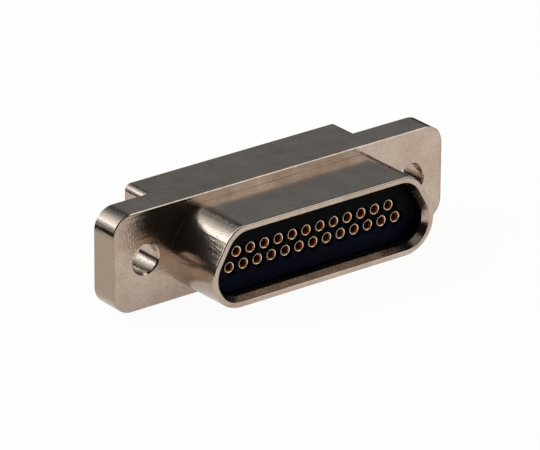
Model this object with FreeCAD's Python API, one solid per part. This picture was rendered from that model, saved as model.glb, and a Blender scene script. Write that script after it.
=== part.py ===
import FreeCAD, Part
import math
import os

# A micro-D socket connector. Sizes are in millimetres.
# The origin is the centre of the flange's front face. X runs along the contact rows,
# -Y points to the mating side and +Z is up, with the wide side of the mating shell below.

# Contact pattern
lower_row_count = 13
upper_row_count = 12
contact_pitch = 1.27
row_spacing = 1.09

# Flange and its two fixing holes
flange_thickness = 2.35
flange_step = 0.665
flange_end_margin = 2.895
flange_corner_radius = 1.62
flange_edge_break = 0.06
hole_offset = 4.635
hole_diameter = 2.28
hole_edge_break = 0.10

# D-shaped mating shell in front of the flange
mating_reach = 5.22
mating_end_margin = 2.57
mating_row_margin = 2.62
mating_slant = 30.0
mating_top_radius = 2.00
mating_bottom_radius = 2.57
mating_root_radius = 0.02
rim_outer_radius = 0.12
rim_width = 0.42
rim_inner_break = 0.02

# Bore of the mating shell: the corner radii are those at the rim, in front of the tapered lead-in
bore_top_radius = 1.90
bore_bottom_radius = 2.15
lead_in_depth = 0.53
lead_in_angle = 30.0

# Rectangular rear body behind the flange
rear_reach = 3.55
rear_end_margin = 2.18
rear_row_margin = 2.665
rear_corner_radius = 0.56
rear_root_radius = 0.05
rear_edge_radius = 0.08
rear_wall = 0.62
pocket_corner_radius = 0.52
pocket_edge_break = 0.12

# Insulator halves and potting
insulator_setback = 1.27
insulator_clearance = 0.03
insulator_edge_break = 0.06
shoulder_depth = 1.00
rear_insulator_thickness = 1.60
potting_thickness = 2.70
meniscus_height = 0.20
meniscus_edge = 0.03

# Socket contact, from its mouth to its solder cup
socket_diameter = 0.85
socket_bore = 0.59
socket_bore_depth = 3.60
socket_outer_break = 0.03
socket_entry_break = 0.05
mouth_recess = 0.20
countersink_margin = 0.14
cavity_clearance = 0.03
collar_diameter = 1.00
collar_length = 0.60
tail_diameter = 0.66
tail_exposed = 0.45
cup_diameter = 0.92
cup_length = 2.40
cup_shoulder = 0.13
cup_bore = 0.64
cup_bore_depth = 1.80
cup_cut_height = 0.08
cup_cut_length = 1.35

# Sizes worked out from the ones above
lead_in_inset = lead_in_depth * math.tan(math.radians(lead_in_angle))
bore_inset = rim_width + lead_in_inset
row_length = (lower_row_count - 1) * contact_pitch
mating_mid_width = row_length + 2 * mating_end_margin
mating_height = row_spacing + 2 * mating_row_margin
flange_height = mating_height + 2 * flange_step
hole_spacing = row_length + 2 * hole_offset
flange_length = hole_spacing + 2 * flange_end_margin
rear_width = row_length + 2 * rear_end_margin
rear_height = row_spacing + 2 * rear_row_margin
pocket_width = rear_width - 2 * rear_wall
pocket_height = rear_height - 2 * rear_wall

# Stations along Y
rim_y = -mating_reach
insulator_face_y = rim_y + insulator_setback
socket_mouth_y = insulator_face_y + mouth_recess
shoulder_y = shoulder_depth
collar_y = shoulder_y - collar_length
rear_insulator_y = shoulder_y + rear_insulator_thickness
potting_y = rear_insulator_y + potting_thickness
rear_y = flange_thickness + rear_reach
cup_y = potting_y + tail_exposed
cup_end_y = cup_y + cup_length

# How far a cutting tool runs past the face that it opens
overrun = 1.0
drill_point_angle = 118.0
tolerance = 1e-4


def rounded_rectangle(width, height, radius, y):
    """A rounded rectangle centred on the Y axis, as a wire in the plane at y."""
    x = width / 2
    z = height / 2
    diagonal = radius * (1 - math.sqrt(0.5))

    def at(px, pz):
        return FreeCAD.Vector(px, y, pz)

    edges = [
        Part.LineSegment(at(radius - x, z), at(x - radius, z)),
        Part.Arc(at(x - radius, z), at(x - diagonal, z - diagonal), at(x, z - radius)),
        Part.LineSegment(at(x, z - radius), at(x, radius - z)),
        Part.Arc(at(x, radius - z), at(x - diagonal, diagonal - z), at(x - radius, -z)),
        Part.LineSegment(at(x - radius, -z), at(radius - x, -z)),
        Part.Arc(at(radius - x, -z), at(diagonal - x, diagonal - z), at(-x, radius - z)),
        Part.LineSegment(at(-x, radius - z), at(-x, z - radius)),
        Part.Arc(at(-x, z - radius), at(diagonal - x, z - diagonal), at(radius - x, z)),
    ]
    return Part.Wire([edge.toShape() for edge in edges])


def d_outline(inset, top_radius, bottom_radius, y):
    """The mating shell's outline drawn in by inset: a D with its wide side below."""
    slant = math.radians(mating_slant)
    half_width = mating_mid_width / 2 - inset / math.cos(slant)
    top = mating_height / 2 - inset
    top_centre_z = top - top_radius
    top_centre_x = half_width - top_radius / math.cos(slant) - top_centre_z * math.tan(slant)
    bottom_centre_z = bottom_radius - top
    bottom_centre_x = half_width - bottom_radius / math.cos(slant) - bottom_centre_z * math.tan(slant)

    def on_top_corner(angle):
        x = top_centre_x + top_radius * math.cos(angle)
        return x, top_centre_z + top_radius * math.sin(angle)

    def on_bottom_corner(angle):
        x = bottom_centre_x + bottom_radius * math.cos(angle)
        return x, bottom_centre_z + bottom_radius * math.sin(angle)

    quarter = math.pi / 2
    top_arc = [on_top_corner(a) for a in (quarter, (quarter + slant) / 2, slant)]
    bottom_arc = [on_bottom_corner(a) for a in (slant, (slant - quarter) / 2, -quarter)]

    def right(point):
        return FreeCAD.Vector(point[0], y, point[1])

    def left(point):
        return FreeCAD.Vector(-point[0], y, point[1])

    edges = [
        Part.LineSegment(left(top_arc[0]), right(top_arc[0])),
        Part.Arc(*[right(point) for point in top_arc]),
        Part.LineSegment(right(top_arc[2]), right(bottom_arc[0])),
        Part.Arc(*[right(point) for point in bottom_arc]),
        Part.LineSegment(right(bottom_arc[2]), left(bottom_arc[2])),
        Part.Arc(*[left(point) for point in reversed(bottom_arc)]),
        Part.LineSegment(left(bottom_arc[0]), left(top_arc[2])),
        Part.Arc(*[left(point) for point in reversed(top_arc)]),
    ]
    return Part.Wire([edge.toShape() for edge in edges])


def bore_outline(inset, y):
    """The bore's outline drawn in by inset from the shell's outside, with parallel corners."""
    drawn_in = inset - rim_width
    return d_outline(inset, bore_top_radius - drawn_in, bore_bottom_radius - drawn_in, y)


def prism(outline, length):
    """A solid drawn from the outline's plane towards +Y."""
    return Part.Face(outline).extrude(FreeCAD.Vector(0, length, 0))


def turned(profile):
    """A solid turned about the Y axis from (radius, y) points."""
    points = [FreeCAD.Vector(radius, y, 0) for radius, y in profile]
    outline = Part.makePolygon(points + [points[0]])
    return Part.Face(outline).revolve(FreeCAD.Vector(0, 0, 0), FreeCAD.Vector(0, 1, 0), 360)


def edges_at(shape, y, half_width, half_height):
    """The edges of shape that lie in the plane at y, inside a rectangle about the Y axis."""
    found = []
    for edge in shape.Edges:
        box = edge.BoundBox
        in_plane = abs(box.YMin - y) < tolerance and abs(box.YMax - y) < tolerance
        in_width = max(abs(box.XMin), abs(box.XMax)) < half_width + tolerance
        in_height = max(abs(box.ZMin), abs(box.ZMax)) < half_height + tolerance
        if in_plane and in_width and in_height:
            found.append(edge)
    return found


def edges_on(shape, outline):
    """The edges of shape whose middle lies on the outline."""
    found = []
    for edge in shape.Edges:
        middle = edge.valueAt((edge.FirstParameter + edge.LastParameter) / 2)
        if Part.Vertex(middle).distToShape(outline)[0] < tolerance:
            found.append(edge)
    return found


def contact_places():
    """Each contact's x and z, lower row first, and the side that its solder cup opens to."""
    places = []
    for count, side in ((lower_row_count, -1), (upper_row_count, 1)):
        for index in range(count):
            x = (index - (count - 1) / 2) * contact_pitch
            places.append((x, side * row_spacing / 2, side))
    return places


def at_each_contact(tool):
    """Copies of a tool made on the Y axis, one at each contact."""
    return [tool.translated(FreeCAD.Vector(x, 0, z)) for x, z, side in contact_places()]


def flange():
    """The oblong flange with the edges of both faces broken."""
    outline = rounded_rectangle(flange_length, flange_height, flange_corner_radius, 0)
    slab = prism(outline, flange_thickness)
    rims = [
        edge
        for y in (0, flange_thickness)
        for edge in edges_at(slab, y, flange_length / 2, flange_height / 2)
    ]
    return slab.makeChamfer(flange_edge_break, rims)


def solid_form():
    """Flange, mating shell and rear body as one block, with root fillets and rounded ends."""
    nose_outline = d_outline(0, mating_top_radius, mating_bottom_radius, rim_y)
    nose = prism(nose_outline, mating_reach + flange_thickness / 2)
    rear_outline = rounded_rectangle(
        rear_width, rear_height, rear_corner_radius, flange_thickness / 2
    )
    rear = prism(rear_outline, rear_y - flange_thickness / 2)
    block = flange().fuse([nose, rear]).removeSplitter()
    nose_half_width = mating_mid_width / 2 + mating_height / 2
    block = block.makeFillet(
        mating_root_radius, edges_at(block, 0, nose_half_width, mating_height / 2)
    )
    block = block.makeFillet(
        rear_root_radius, edges_at(block, flange_thickness, rear_width / 2, rear_height / 2)
    )
    block = block.makeFillet(rim_outer_radius, edges_on(block, nose_outline))
    return block.makeFillet(
        rear_edge_radius, edges_at(block, rear_y, rear_width / 2, rear_height / 2)
    )


def lead_in():
    """The tool for the taper inside the rim, carried forward at the same slope."""
    carried = overrun * math.tan(math.radians(lead_in_angle))
    front = bore_outline(rim_width - carried, rim_y - overrun)
    back = bore_outline(bore_inset, rim_y + lead_in_depth)
    return Part.makeLoft([front, back], True, True)


def fixing_hole():
    """The tool for one fixing hole, with both of its edges broken."""
    radius = hole_diameter / 2
    wide = radius + hole_edge_break
    return turned([
        (0, -overrun),
        (wide, -overrun),
        (wide, 0),
        (radius, hole_edge_break),
        (radius, flange_thickness - hole_edge_break),
        (wide, flange_thickness),
        (wide, flange_thickness + overrun),
        (0, flange_thickness + overrun),
    ])


def shell():
    """The one-piece machined shell."""
    block = solid_form()
    bore = prism(bore_outline(bore_inset, rim_y), shoulder_y - rim_y)
    pocket_outline = rounded_rectangle(pocket_width, pocket_height, pocket_corner_radius, shoulder_y)
    pocket = prism(pocket_outline, rear_y + overrun - shoulder_y)
    holes = [
        fixing_hole().translated(FreeCAD.Vector(side * hole_spacing / 2, 0, 0))
        for side in (-1, 1)
    ]
    block = block.cut([lead_in(), bore, pocket] + holes)
    block = block.makeChamfer(rim_inner_break, edges_on(block, bore_outline(rim_width, rim_y)))
    mouth_edges = edges_at(block, rear_y, pocket_width / 2, pocket_height / 2)
    return block.makeChamfer(pocket_edge_break, mouth_edges)


def front_insulator():
    """The D-shaped block with a countersunk cavity for each socket and its collar."""
    outline = bore_outline(bore_inset + insulator_clearance, insulator_face_y)
    block = prism(outline, shoulder_y - insulator_face_y)
    face_edges = edges_at(block, insulator_face_y, mating_mid_width, mating_height)
    block = block.makeChamfer(insulator_edge_break, face_edges)
    cavity_radius = socket_diameter / 2 + cavity_clearance
    collar_radius = collar_diameter / 2 + cavity_clearance
    countersink_radius = cavity_radius + countersink_margin
    cavity = turned([
        (0, insulator_face_y - overrun),
        (countersink_radius, insulator_face_y - overrun),
        (countersink_radius, insulator_face_y),
        (cavity_radius, socket_mouth_y),
        (cavity_radius, collar_y),
        (collar_radius, collar_y),
        (collar_radius, shoulder_y + overrun),
        (0, shoulder_y + overrun),
    ])
    return block.cut(at_each_contact(cavity))


def rear_insulator():
    """The rectangular half that traps the collars in the front one."""
    outline = rounded_rectangle(
        pocket_width - 2 * insulator_clearance,
        pocket_height - 2 * insulator_clearance,
        pocket_corner_radius - insulator_clearance,
        shoulder_y,
    )
    block = prism(outline, rear_insulator_thickness)
    radius = tail_diameter / 2 + cavity_clearance
    hole = turned([
        (0, shoulder_y - overrun),
        (radius, shoulder_y - overrun),
        (radius, rear_insulator_y + overrun),
        (0, rear_insulator_y + overrun),
    ])
    return block.cut(at_each_contact(hole))


def rear_potting():
    """Cast resin that fills the pocket round the tails and creeps a little up its walls."""
    outline = rounded_rectangle(pocket_width, pocket_height, pocket_corner_radius, rear_insulator_y)
    block = prism(outline, potting_thickness + meniscus_height)
    dish_outline = rounded_rectangle(
        pocket_width - 2 * meniscus_edge,
        pocket_height - 2 * meniscus_edge,
        pocket_corner_radius - meniscus_edge,
        potting_y,
    )
    dish = prism(dish_outline, meniscus_height + overrun)
    dish = dish.makeFillet(meniscus_height, edges_at(dish, potting_y, pocket_width, pocket_height))
    radius = tail_diameter / 2
    hole = turned([
        (0, rear_insulator_y - overrun),
        (radius, rear_insulator_y - overrun),
        (radius, potting_y + overrun),
        (0, potting_y + overrun),
    ])
    return block.cut([dish] + at_each_contact(hole))


def cup_opening(side):
    """The tool that opens a solder cup towards side, with a sloping runout."""
    start = cup_end_y - cup_cut_length
    height = cup_diameter
    points = [
        (start, cup_cut_height),
        (cup_end_y + overrun, cup_cut_height),
        (cup_end_y + overrun, height),
        (start - (height - cup_cut_height), height),
    ]
    corners = [FreeCAD.Vector(-cup_diameter, y, side * z) for y, z in points]
    outline = Part.makePolygon(corners + [corners[0]])
    return Part.Face(outline).extrude(FreeCAD.Vector(2 * cup_diameter, 0, 0))


def socket_contact(side):
    """One contact on the Y axis: socket, collar, tail and solder cup turned from one bar."""
    socket_radius = socket_diameter / 2
    bore_radius = socket_bore / 2
    collar_radius = collar_diameter / 2
    tail_radius = tail_diameter / 2
    cup_radius = cup_diameter / 2
    cup_bore_radius = cup_bore / 2
    drill_slope = math.tan(math.radians(90 - drill_point_angle / 2))
    bore_end = socket_mouth_y + socket_bore_depth
    cup_bore_end = cup_end_y - cup_bore_depth
    contact = turned([
        (0, bore_end + bore_radius * drill_slope),
        (bore_radius, bore_end),
        (bore_radius, socket_mouth_y + socket_entry_break),
        (bore_radius + socket_entry_break, socket_mouth_y),
        (socket_radius - socket_outer_break, socket_mouth_y),
        (socket_radius, socket_mouth_y + socket_outer_break),
        (socket_radius, collar_y),
        (collar_radius, collar_y),
        (collar_radius, shoulder_y),
        (tail_radius, shoulder_y),
        (tail_radius, cup_y),
        (cup_radius, cup_y + cup_shoulder),
        (cup_radius, cup_end_y),
        (cup_bore_radius, cup_end_y),
        (cup_bore_radius, cup_bore_end),
        (0, cup_bore_end - cup_bore_radius * drill_slope),
    ])
    return contact.cut(cup_opening(side))


def write(name, shape):
    """Writes one node's STEP file."""
    shape.exportStep(os.path.join("parts", name + ".step"))
    print(name, len(shape.Solids), "solid", round(shape.Volume, 3), "mm3", shape.isValid())


def main():
    os.makedirs("parts", exist_ok=True)
    write("shell", shell())
    write("front_insulator", front_insulator())
    write("rear_insulator", rear_insulator())
    write("rear_potting", rear_potting())
    contacts = {side: socket_contact(side) for side in (-1, 1)}
    for number, (x, z, side) in enumerate(contact_places(), start=1):
        placed = contacts[side].translated(FreeCAD.Vector(x, 0, z))
        write(f"socket_contact_{number:02d}", placed)


main()
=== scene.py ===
import math

import bpy
from mathutils import Matrix, Vector


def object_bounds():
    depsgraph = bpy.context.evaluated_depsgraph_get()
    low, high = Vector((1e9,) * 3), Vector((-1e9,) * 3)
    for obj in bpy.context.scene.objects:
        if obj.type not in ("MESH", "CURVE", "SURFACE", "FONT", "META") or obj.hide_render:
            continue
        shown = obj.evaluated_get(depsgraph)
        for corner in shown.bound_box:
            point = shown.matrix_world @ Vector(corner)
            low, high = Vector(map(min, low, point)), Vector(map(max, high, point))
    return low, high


# A 25-way micro-D socket connector: nickel-plated shell, black insulators, gold contacts.
# Metres throughout, in the part's own frame: the mating side faces -Y, the long side lies along X.

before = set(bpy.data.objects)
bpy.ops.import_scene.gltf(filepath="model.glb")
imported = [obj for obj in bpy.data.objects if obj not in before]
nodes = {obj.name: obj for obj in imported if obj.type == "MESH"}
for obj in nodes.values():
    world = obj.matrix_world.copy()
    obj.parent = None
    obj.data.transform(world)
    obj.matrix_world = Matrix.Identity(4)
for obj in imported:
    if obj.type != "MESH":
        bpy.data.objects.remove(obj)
cadLow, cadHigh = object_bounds()
mm = 0.001
noiseSpan = (0.3, 0.7)  # most of a noise pattern's values lie between these
print("frame loaded,", len(nodes), "pieces")


def linearColour(code):  # "#RRGGBB" in sRGB to linear, with full alpha
    shares = [int(code[start:start + 2], 16) / 255 for start in (1, 3, 5)]
    return [s / 12.92 if s <= 0.04045 else ((s + 0.055) / 1.055) ** 2.4 for s in shares] + [1.0]


def perSize(millimetres):  # pattern scale that gives features of this real size
    return 1 / (millimetres * mm)


def direction(azimuth, elevation):  # unit vector: azimuth from +Y towards +X, both in degrees
    around = math.radians(azimuth)
    above = math.radians(elevation)
    level = math.cos(above)
    return Vector((math.sin(around) * level, math.cos(around) * level, math.sin(above)))


def addObject(name, data):  # an object in the scene
    made = bpy.data.objects.new(name, data)
    bpy.context.scene.collection.objects.link(made)
    return made


def emptyTree(owner):  # the cleared node tree of a material or world
    owner.use_nodes = True
    owner.node_tree.nodes.clear()
    return owner.node_tree


def addNode(tree, kind, inputs=None, settings=None, stops=None):  # links sockets, sets plain values
    node = tree.nodes.new(kind)
    for name, value in (settings or {}).items():
        setattr(node, name, value)
    for name, value in (inputs or {}).items():
        if isinstance(value, bpy.types.NodeSocket):
            tree.links.new(value, node.inputs[name])
        else:
            node.inputs[name].default_value = value
    if stops:
        ramp = node.color_ramp.elements
        while len(ramp) < len(stops):
            ramp.new(0.5)  # placed below
        for element, (place, code) in zip(ramp, stops):
            element.position = place
            element.color = linearColour(code)
    return node


def calculate(tree, operation, *values):  # one Math node's result
    settings = {"operation": operation}
    return addNode(tree, "ShaderNodeMath", dict(enumerate(values)), settings).outputs[0]


def mapRange(tree, value, start, end, low=0.0, high=1.0, easing="LINEAR"):
    facts = {"Value": value, "From Min": start, "From Max": end, "To Min": low, "To Max": high}
    return addNode(tree, "ShaderNodeMapRange", facts, {"interpolation_type": easing}).outputs[0]


def splitAxes(tree, vector):  # outputs named X, Y and Z
    return addNode(tree, "ShaderNodeSeparateXYZ", {0: vector}).outputs


def lengthOf(tree, parts):  # length of the vector with these parts, such as {"X": socket}
    vector = addNode(tree, "ShaderNodeCombineXYZ", parts).outputs[0]
    settings = {"operation": "LENGTH"}
    return addNode(tree, "ShaderNodeVectorMath", {0: vector}, settings).outputs["Value"]


def stretch(tree, place, scale):  # smaller scale, longer pattern
    return addNode(tree, "ShaderNodeMapping", {"Vector": place, "Scale": scale}).outputs[0]


def noise(tree, place, size, detail, roughness=0.5, swirl=0.0):  # size in mm
    facts = {
        "Vector": place, "Scale": perSize(size), "Detail": detail,
        "Roughness": roughness, "Distortion": swirl,
    }
    return addNode(tree, "ShaderNodeTexNoise", facts).outputs["Fac"]


def rampColours(tree, share, stops):  # stops: place from 0 to 1, and colour there
    return addNode(tree, "ShaderNodeValToRGB", {"Fac": share}, stops=stops).outputs["Color"]


def mixColours(tree, share, first, second):  # share 0 gives first
    facts = {0: share, 6: first, 7: second}
    return addNode(tree, "ShaderNodeMix", facts, {"data_type": "RGBA"}).outputs[2]


def bump(tree, height, depth, strength=1.0, over=None, inverted=False):  # depth in mm
    facts = {"Height": height, "Strength": strength, "Distance": depth * mm}
    if over is not None:
        facts["Normal"] = over
    return addNode(tree, "ShaderNodeBump", facts, {"invert": inverted}).outputs[0]


def newMaterial(name, surface):  # a material with its surface shader, ready for patterns
    material = bpy.data.materials.new(name)
    tree = emptyTree(material)
    shader = addNode(tree, "ShaderNodeBsdfPrincipled", surface)
    addNode(tree, "ShaderNodeOutputMaterial", {"Surface": shader.outputs["BSDF"]})
    place = addNode(tree, "ShaderNodeTexCoord").outputs["Object"]
    return material, tree, shader, place


def joinSurface(tree, shader, colour, roughness, normal):
    tree.links.new(colour, shader.inputs["Base Color"])
    tree.links.new(roughness, shader.inputs["Roughness"])
    tree.links.new(normal, shader.inputs["Normal"])


def dress(names, material):  # every named CAD piece takes the material
    for name in names:
        nodes[name].data.materials.clear()
        nodes[name].data.materials.append(material)


# Camera: at the photograph's viewing angle, with a long lens.
cameraFacts = {
    "azimuth": 38.03,  # degrees round to the part's left, from straight on
    "elevation": 23.48,
    "roll": 0.43,
    "distance": 386.3,  # mm
    "aimAcross": -0.80,  # mm from the part's origin, along the picture's width
    "aimUp": -0.48,
    "lens": 353.7,  # mm
    "sensor": 36.0,  # mm
}


def makeCamera(facts):
    back = direction(180 + facts["azimuth"], facts["elevation"])
    level = Vector((0, 0, 1)).cross(back).normalized()
    tilt = Matrix.Rotation(math.radians(facts["roll"]), 3, back)
    across = tilt @ level
    upward = tilt @ back.cross(level)
    place = back * facts["distance"] + across * facts["aimAcross"] + upward * facts["aimUp"]
    data = bpy.data.cameras.new("camera")
    data.lens = facts["lens"]
    data.sensor_width = facts["sensor"]
    camera = addObject("camera", data)
    turn = Matrix((across, upward, back)).transposed()
    camera.matrix_world = Matrix.Translation(place * mm) @ turn.to_4x4()
    bpy.context.scene.camera = camera


makeCamera(cameraFacts)
print("camera placed")


# Studio: a white table, three soft boxes, two strips of black felt, and a dim room with cards in it.
floorFacts = {
    "colour": "#F6EEDD",
    "size": 4.0,  # metres across
    "seenGlow": 0.95,  # share that the camera sees plain white, so that the shadow stays faint
    "mirroredGlow": 0.97,  # the same for what metal mirrors of the table, where it glows most
    "mirroredGlowFar": 0.72,
    "glowCentre": (18, -15),  # mm, the middle of the painted pool of light, in front of the part on the right
    "glowReach": 46,  # mm
    "shadeGlow": 0.78,  # the part's own shade on the table, as metal mirrors it
    "shadeHalf": 9,  # mm along X, each side of the middle
    "shadeMiddle": 1.5,  # mm along Y
    "shadeSpan": (2, 6),  # mm from the shade's line: full up to here, gone from here
}

softBoxes = [  # degrees and metres; brightness is what a mirror shows of the box
    {
        "name": "left", "azimuth": -60, "elevation": 44, "distance": 0.60,
        "wide": 0.46, "high": 0.46, "brightness": 3.0,
    },
    {
        "name": "frontRight", "azimuth": 145, "elevation": 21, "distance": 0.60,
        "wide": 0.32, "high": 0.27, "brightness": 1.2,
    },
    {
        "name": "backLeft", "azimuth": -28, "elevation": 31, "distance": 0.55,
        "wide": 0.40, "high": 0.36, "brightness": 0.53,
    },
]

lampColour = "#EFF9FF"  # daylight tubes, a little cool
lampPower = 4  # watts per square metre at which a lamp's mirror image has brightness 1

flags = [  # strips of felt stood on the table, bent round the part: mm, and degrees from +Y
    {
        "name": "leftFlag", "centre": (-9, -2), "radius": 32, "height": 7,
        "from": -150, "to": -28, "steps": 24,
    },
    {
        "name": "rightFlag", "centre": (0, 0), "radius": 46, "height": 13,
        "from": -28, "to": 164, "steps": 36,
    },
]

feltColour = "#080706"

room = {
    "wall": 0.01,
    "horizonTop": 2.6,  # degrees above the table where the white wall ends
    "wallStart": 4.0,  # degrees above it where the dim room starts
}

roomCards = [  # degrees: each card is full up to inner and gone from outer
    # On the right, for the lower side of the lead-in.
    {"azimuth": 92, "elevation": 20, "inner": 16, "outer": 38, "brightness": 0.9},
    # Narrow, for the fillet at the mating shell's foot and the pale line along the flange's edge.
    {"azimuth": 126, "elevation": 45, "inner": 4, "outer": 12, "brightness": 2.0},
    # High behind, for the edges that face up and forwards.
    {"azimuth": 20, "elevation": 66, "inner": 10, "outer": 26, "brightness": 2.2},
    # Behind on the left, for the rounded upper left corners.
    {"azimuth": -36, "elevation": 27, "inner": 14, "outer": 30, "brightness": 0.5},
    # Behind on the right, for the tops.
    {"azimuth": 41, "elevation": 20, "inner": 8, "outer": 20, "brightness": 0.24},
    # High in front, for the tops as they are seen from behind.
    {"azimuth": -136, "elevation": 66, "inner": 16, "outer": 26, "brightness": 0.28},
]


def tableGlow(tree, facts, height):  # how white metal mirrors the table at each place: a painted pool of light, and painted shade under the part
    place = addNode(tree, "ShaderNodeTexCoord").outputs["Object"]
    x, y = facts["glowCentre"]
    centre = (x * mm, y * mm, height)
    away = addNode(
        tree, "ShaderNodeVectorMath", {0: place, 1: centre}, {"operation": "DISTANCE"}
    ).outputs["Value"]
    reach = facts["glowReach"] * mm
    near, far = facts["mirroredGlow"], facts["mirroredGlowFar"]
    glow = mapRange(tree, away, 0.0, reach, near, far, "SMOOTHSTEP")

    axes = splitAxes(tree, place)
    pastHalf = calculate(
        tree, "SUBTRACT", calculate(tree, "ABSOLUTE", axes["X"]), facts["shadeHalf"] * mm
    )
    sideways = calculate(tree, "MAXIMUM", pastHalf, 0.0)
    forwards = calculate(tree, "SUBTRACT", axes["Y"], facts["shadeMiddle"] * mm)
    apart = lengthOf(tree, {"X": sideways, "Y": forwards})
    full, gone = facts["shadeSpan"]
    shade = mapRange(tree, apart, full * mm, gone * mm, facts["shadeGlow"], 1.0, "SMOOTHSTEP")
    return calculate(tree, "MULTIPLY", glow, shade)


def makeFloor(facts):
    half = facts["size"] / 2
    height = cadLow.z
    square = ((-half, -half), (half, -half), (half, half), (-half, half))
    mesh = bpy.data.meshes.new("table")
    mesh.from_pydata([(x, y, height) for x, y in square], [], [(0, 1, 2, 3)])
    floor = addObject("table", mesh)

    # Matt white laminate: even to the camera and shadow-taking, shown a little brighter than it is
    # lit. What metal mirrors of it is a painted pool of light, with painted shade under the part.
    material = bpy.data.materials.new("matt white laminate")
    tree = emptyTree(material)
    matt = addNode(tree, "ShaderNodeBsdfDiffuse", {"Color": linearColour(facts["colour"])})
    white = addNode(tree, "ShaderNodeEmission", {"Color": (1, 1, 1, 1), "Strength": 1.0})
    rays = addNode(tree, "ShaderNodeLightPath").outputs
    mirrored = calculate(tree, "MAXIMUM", rays["Is Glossy Ray"], rays["Is Transmission Ray"])
    mirroredShare = calculate(tree, "MULTIPLY", mirrored, tableGlow(tree, facts, height))
    share = calculate(tree, "MULTIPLY_ADD", rays["Is Camera Ray"], facts["seenGlow"], mirroredShare)
    mixed = addNode(tree, "ShaderNodeMixShader", {0: share, 1: matt.outputs[0], 2: white.outputs[0]})
    addNode(tree, "ShaderNodeOutputMaterial", {"Surface": mixed.outputs[0]})
    mesh.materials.append(material)


def makeFlag(facts):
    points = []
    for step in range(facts["steps"] + 1):
        azimuth = facts["from"] + (facts["to"] - facts["from"]) * step / facts["steps"]
        outward = direction(azimuth, 0) * facts["radius"]
        x = (facts["centre"][0] + outward.x) * mm
        y = (facts["centre"][1] + outward.y) * mm
        points += [(x, y, cadLow.z), (x, y, cadLow.z + facts["height"] * mm)]
    faces = [(i, i + 2, i + 3, i + 1) for i in range(0, 2 * facts["steps"], 2)]
    mesh = bpy.data.meshes.new(facts["name"])
    mesh.from_pydata(points, [], faces)
    flag = addObject(facts["name"], mesh)
    flag.visible_camera = False
    flag.visible_diffuse = False
    flag.visible_shadow = False

    # Black felt: a dark low band in the polished sides.
    material = bpy.data.materials.new("black felt")
    tree = emptyTree(material)
    felt = addNode(tree, "ShaderNodeBsdfDiffuse", {"Color": linearColour(feltColour)})
    addNode(tree, "ShaderNodeOutputMaterial", {"Surface": felt.outputs[0]})
    mesh.materials.append(material)


def makeSoftBox(facts):
    data = bpy.data.lights.new(facts["name"], "AREA")
    data.shape = "RECTANGLE"
    data.size = facts["wide"]
    data.size_y = facts["high"]
    data.energy = lampPower * facts["wide"] * facts["high"] * facts["brightness"]
    data.color = linearColour(lampColour)[:3]
    box = addObject(facts["name"], data)
    towards = direction(facts["azimuth"], facts["elevation"])
    box.location = towards * facts["distance"]
    box.rotation_mode = "QUATERNION"
    box.rotation_quaternion = towards.to_track_quat("Z", "Y")
    box.visible_camera = False


def makeRoom(facts, cards):
    world = bpy.data.worlds.new("studio")
    bpy.context.scene.world = world
    tree = emptyTree(world)
    towards = addNode(tree, "ShaderNodeTexCoord").outputs["Generated"]
    shown = facts["wall"]
    for card in cards:
        aim = direction(card["azimuth"], card["elevation"])
        facing = addNode(
            tree, "ShaderNodeVectorMath", {0: towards, 1: aim}, {"operation": "DOT_PRODUCT"}
        ).outputs["Value"]
        gone = math.cos(math.radians(card["outer"]))
        full = math.cos(math.radians(card["inner"]))
        cover = mapRange(tree, facing, gone, full, easing="SMOOTHSTEP")
        blend = {"Factor": cover, "A": shown, "B": card["brightness"]}
        shown = addNode(tree, "ShaderNodeMix", blend).outputs[0]

    # A white wall stands low round the table, so that the metal mirrors no dark horizon.
    height = splitAxes(tree, towards)["Z"]
    low = math.sin(math.radians(facts["horizonTop"]))
    high = math.sin(math.radians(facts["wallStart"]))
    white = mapRange(tree, height, low, high, 1.0, 0.0, "SMOOTHSTEP")
    shown = addNode(tree, "ShaderNodeMix", {"Factor": white, "A": shown, "B": 1.0}).outputs[0]
    glow = {"Color": linearColour(lampColour), "Strength": shown}
    background = addNode(tree, "ShaderNodeBackground", glow)
    addNode(tree, "ShaderNodeOutputWorld", {"Surface": background.outputs[0]})


makeFloor(floorFacts)
for flag in flags:
    makeFlag(flag)
for softBox in softBoxes:
    makeSoftBox(softBox)
makeRoom(room, roomCards)
print("studio lit")


# Shell: aluminium milled from solid, then electroless nickel plated.
# The plate is warm grey and satin: it mirrors the room softly, with a fine sandy grain.
shellFinish = {
    "clouds": [(0.35, "#B4A090"), (0.6, "#C1AFA0")],  # place in the noise, and colour there
    "cloudSize": 2.2,  # mm
    "cloudRoughness": (0.20, 0.14),  # where the clouds are dark, and pale
    "grainSize": 0.15,  # mm; blasting grit leaves 0.03 mm pits, drawn coarser so that they show
    "grainDepth": 0.010,
    "specks": "#8A7868",  # duller spots where the grit bit deeper
    "speckSpan": (0.46, 0.72),  # noise values where a speck starts, and where it is full
    "speckShare": 0.34,
    "speckStretch": 2.5,
    "toolMarkSize": 0.20,  # mm between the lines that the side of the milling cutter leaves
    "toolMarkStretch": 14,
    "toolMarkDepth": 0.008,
    "passSize": 0.22,  # mm between the lines that the end of the cutter leaves on the flange's face
    "passStretch": 12,
    "passDepth": 0.014,
    "faceSlack": 0.01,  # mm from Y = 0 that still count as the flange's face
    "cornerShadeColour": "#6C5F55",  # painted shade in the sharp corner at the foot of the mating shell
    "cornerMiddle": -0.012,  # mm along Y
    "cornerHalf": 0.011,
    "endShadeColour": "#A59281",  # painted shade: the flange's ends drawn a little darker and yellower
    "endSpan": (14.9, 15.12),  # mm along X where the ends start, and where they are full
}


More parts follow.
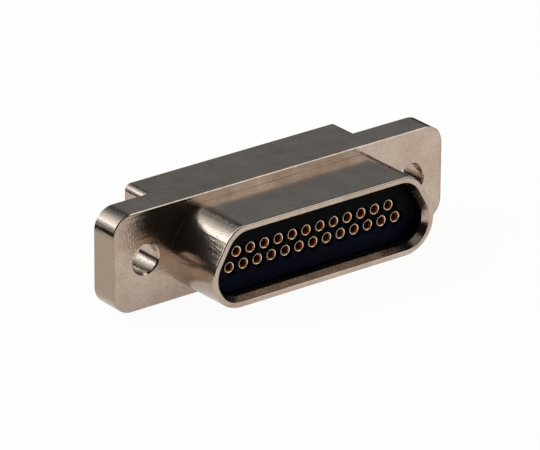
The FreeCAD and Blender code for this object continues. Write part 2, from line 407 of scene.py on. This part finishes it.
def nickelPlate(finish):
    name = "electroless nickel on milled aluminium"
    material, tree, shader, place = newMaterial(name, {"Metallic": 1.0})
    axes = splitAxes(tree, place)
    clouds = noise(tree, place, finish["cloudSize"], detail=4.0, roughness=0.6)
    roughness = mapRange(tree, clouds, *noiseSpan, *finish["cloudRoughness"])

    # Colour: slow clouds, painted shade in the corner and on the flange's ends, and specks that run
    # along the part.
    colour = rampColours(tree, clouds, finish["clouds"])
    middle, half = finish["cornerMiddle"] * mm, finish["cornerHalf"] * mm
    # Painted shade: the sharp corner at the mating shell's foot is drawn dark.
    corner = calculate(tree, "COMPARE", axes["Y"], middle, half)
    colour = mixColours(tree, corner, colour, linearColour(finish["cornerShadeColour"]))
    # Painted shade: the flange's ends are drawn darker.
    across = calculate(tree, "ABSOLUTE", axes["X"])
    start, full = finish["endSpan"]
    endShade = mapRange(tree, across, start * mm, full * mm)
    colour = mixColours(tree, endShade, colour, linearColour(finish["endShadeColour"]))
    alongPart = stretch(tree, place, (1 / finish["speckStretch"], 1, 1))
    pits = noise(tree, alongPart, finish["grainSize"], detail=2.0, roughness=0.6)
    specks = mapRange(tree, pits, *finish["speckSpan"], 0.0, finish["speckShare"])
    colour = mixColours(tree, specks, colour, linearColour(finish["specks"]))

    # Relief: the cutter's marks on every side, its passes along the flange's face, and the grain.
    alongCutter = stretch(tree, place, (1, 1 / finish["toolMarkStretch"], 1))
    toolMarks = noise(tree, alongCutter, finish["toolMarkSize"], detail=2.0)
    scored = bump(tree, toolMarks, finish["toolMarkDepth"])
    onFace = calculate(tree, "COMPARE", axes["Y"], 0.0, finish["faceSlack"] * mm)
    alongFlange = stretch(tree, place, (1 / finish["passStretch"], 1, 1))
    passes = noise(tree, alongFlange, finish["passSize"], detail=2.0)
    passed = bump(tree, passes, finish["passDepth"], onFace, scored)
    grain = noise(tree, place, finish["grainSize"], detail=2.0, roughness=0.6)
    blasted = bump(tree, grain, finish["grainDepth"], over=passed)

    joinSurface(tree, shader, colour, roughness, blasted)
    return material


dress(["shell"], nickelPlate(shellFinish))
print("shell plated")


# Insulators: glass-filled LCP, moulded. Nearly black: warm round the contacts, navy below them.
mouldingFinish = {
    "tints": [(0.22, "#05061A"), (0.5, "#080403"), (0.8, "#040406")],  # place in tintSpan, and colour
    "tintSpan": (-1.92, 2.88),  # mm along Z
    "flowSize": 0.9,  # mm
    "flowSwirl": 0.8,
    "flowWaver": 0.96,  # mm that the flow shifts the tints, at its most
    "flowRoughness": (0.33, 0.45),  # where the flow is low, and high
    "fibreSize": 0.09,  # mm; glass fibres are 0.01 mm thick, drawn coarser so that they show
    "fibreDepth": 0.0012,
    "refraction": 1.5,
    "mirrored": 0.03,  # specular level: the face shows hardly any of the room
}


def mouldedPlastic(finish):
    surface = {"IOR": finish["refraction"], "Specular IOR Level": finish["mirrored"]}
    material, tree, shader, place = newMaterial("moulded glass-filled LCP", surface)
    flow = noise(tree, place, finish["flowSize"], detail=3.0, swirl=finish["flowSwirl"])
    height = splitAxes(tree, place)["Z"]
    wavering = calculate(tree, "MULTIPLY_ADD", flow, finish["flowWaver"] * mm, height)
    low, high = finish["tintSpan"]
    level = mapRange(tree, wavering, low * mm, high * mm)
    colour = rampColours(tree, level, finish["tints"])
    roughness = mapRange(tree, flow, *noiseSpan, *finish["flowRoughness"])
    fibres = noise(tree, place, finish["fibreSize"], detail=1.0)
    skin = bump(tree, fibres, finish["fibreDepth"])
    joinSurface(tree, shader, colour, roughness, skin)
    return material


dress(["front_insulator", "rear_insulator"], mouldedPlastic(mouldingFinish))
print("insulators moulded")


# Potting: black epoxy, poured in and cured. Glossy, with slow waves and a few dull patches.
pottingFinish = {
    "tints": [(0.4, "#101012"), (0.7, "#19181A")],  # place in the noise, and colour there
    "waveSize": 1.8,  # mm
    "waveDepth": 0.03,
    "dullSpan": (0.45, 0.7),  # noise values where a dull patch starts, and where it is full
    "waveRoughness": (0.16, 0.34),  # on the gloss, and in a dull patch
    "refraction": 1.55,
}


def pouredEpoxy(finish):
    surface = {"IOR": finish["refraction"]}
    material, tree, shader, place = newMaterial("poured black epoxy", surface)
    waves = noise(tree, place, finish["waveSize"], detail=2.0)
    colour = rampColours(tree, waves, finish["tints"])
    roughness = mapRange(tree, waves, *finish["dullSpan"], *finish["waveRoughness"])
    rippled = bump(tree, waves, finish["waveDepth"])
    joinSurface(tree, shader, colour, roughness, rippled)
    return material


dress(["rear_potting"], pouredEpoxy(pottingFinish))
print("potting poured")


# Contacts: copper alloy, turned, then gold plated. Pale rims, a painted highlight, and hollows with
# painted glow and shade: orange at the mouth, red-brown and darker deeper in.
contactFinish = {
    "tones": [(0.35, "#EBC084"), (0.6, "#F7D9A6")],  # place in the noise, and colour there
    "toneSize": 0.5,  # mm
    "toneRoughness": (0.26, 0.16),  # where the plate is worn, and whole
    "matingSpan": (0.0, 1.0),  # mm along Y: the mating end's colours are full here, gone there
    # The rims' pale colour is a painted highlight.
    "rimHighlightColour": "#FFF2E4",
    "lipColour": "#E8B874",  # deeper gold on the rounded inner lip
    "lipSpan": (0.375, 0.295),  # mm from the contact's axis where the lip starts, and is full
    "lipDepth": 0.05,
    "pitch": 1.27,  # mm between neighbours in a row
    "rowHeight": 0.545,  # mm from the part's middle to a row
    "hollowGlowAndShade": [(0.06, "#FFB43C"), (0.38, "#B82A14"), (0.9, "#5A120A")],  # place in hollowSpan: painted glow at the mouth, then painted shade, darker deeper in
    "hollowSpan": (-3.748, -3.150),  # mm along Y, from just inside the mouth
    "hollowEdge": 0.001,  # share of hollowSpan that still counts as the mouth
    "hollowMetallic": 0.35,
    "turningSize": 0.06,  # mm between turning lines; real ones are about 0.02 mm apart
    "turningDepth": 0.0008,
    "turningWaver": 0.6,
}


def axisDistance(tree, axes, finish):  # distance from the nearest contact's axis
    half = finish["pitch"] / 2 * mm  # the upper row is shifted by this much
    upperRow = calculate(tree, "GREATER_THAN", axes["Z"], 0.0)
    shifted = calculate(tree, "MULTIPLY_ADD", upperRow, half, axes["X"])
    sideways = calculate(tree, "WRAP", shifted, half, -half)
    height = calculate(tree, "ABSOLUTE", axes["Z"])
    upwards = calculate(tree, "SUBTRACT", height, finish["rowHeight"] * mm)
    return lengthOf(tree, {"X": sideways, "Z": upwards})


def goldPlate(finish):
    name = "gold plate on turned copper alloy"
    material, tree, shader, place = newMaterial(name, {"Metallic": 1.0})
    axes = splitAxes(tree, place)
    tone = noise(tree, place, finish["toneSize"], detail=3.0)
    plain = rampColours(tree, tone, finish["tones"])
    roughness = mapRange(tree, tone, *noiseSpan, *finish["toneRoughness"])

    # The mating end: rims with a painted highlight, their rounded lips, and the hollows behind them
    # with painted glow and shade.
    full, gone = finish["matingSpan"]
    mating = mapRange(tree, axes["Y"], full * mm, gone * mm, 1.0, 0.0)
    start, end = finish["lipSpan"]
    lip = mapRange(tree, axisDistance(tree, axes, finish), start * mm, end * mm)
    rim = mixColours(tree, lip, linearColour(finish["rimHighlightColour"]), linearColour(finish["lipColour"]))
    start, end = finish["hollowSpan"]
    inward = mapRange(tree, axes["Y"], start * mm, end * mm)
    inside = calculate(tree, "GREATER_THAN", inward, finish["hollowEdge"])
    hollow = calculate(tree, "MULTIPLY", inside, mating)
    # Painted highlight on the rims, and painted glow and shade in the hollows.
    colour = mixColours(tree, mating, plain, rim)
    colour = mixColours(tree, hollow, colour, rampColours(tree, inward, finish["hollowGlowAndShade"]))
    metallic = mapRange(tree, hollow, 0.0, 1.0, 1.0, finish["hollowMetallic"])

    # Relief: the rounded lips, and turning lines along the whole contact.
    rounded = bump(tree, lip, finish["lipDepth"], mating, inverted=True)
    lineScale = perSize(finish["turningSize"]) / (2 * math.pi)  # a wave's bands are this much denser
    lines = addNode(
        tree, "ShaderNodeTexWave",
        {"Vector": place, "Scale": lineScale, "Distortion": finish["turningWaver"]},
        {"wave_type": "BANDS", "bands_direction": "Y"},
    ).outputs["Fac"]
    turned = bump(tree, lines, finish["turningDepth"], over=rounded)

    joinSurface(tree, shader, colour, roughness, turned)
    tree.links.new(metallic, shader.inputs["Metallic"])
    return material


contactNames = sorted(name for name in nodes if name.startswith("socket_contact_"))
dress(contactNames, goldPlate(contactFinish))
print("contacts plated,", len(contactNames))


bpy.context.scene.view_settings.view_transform = "Standard"
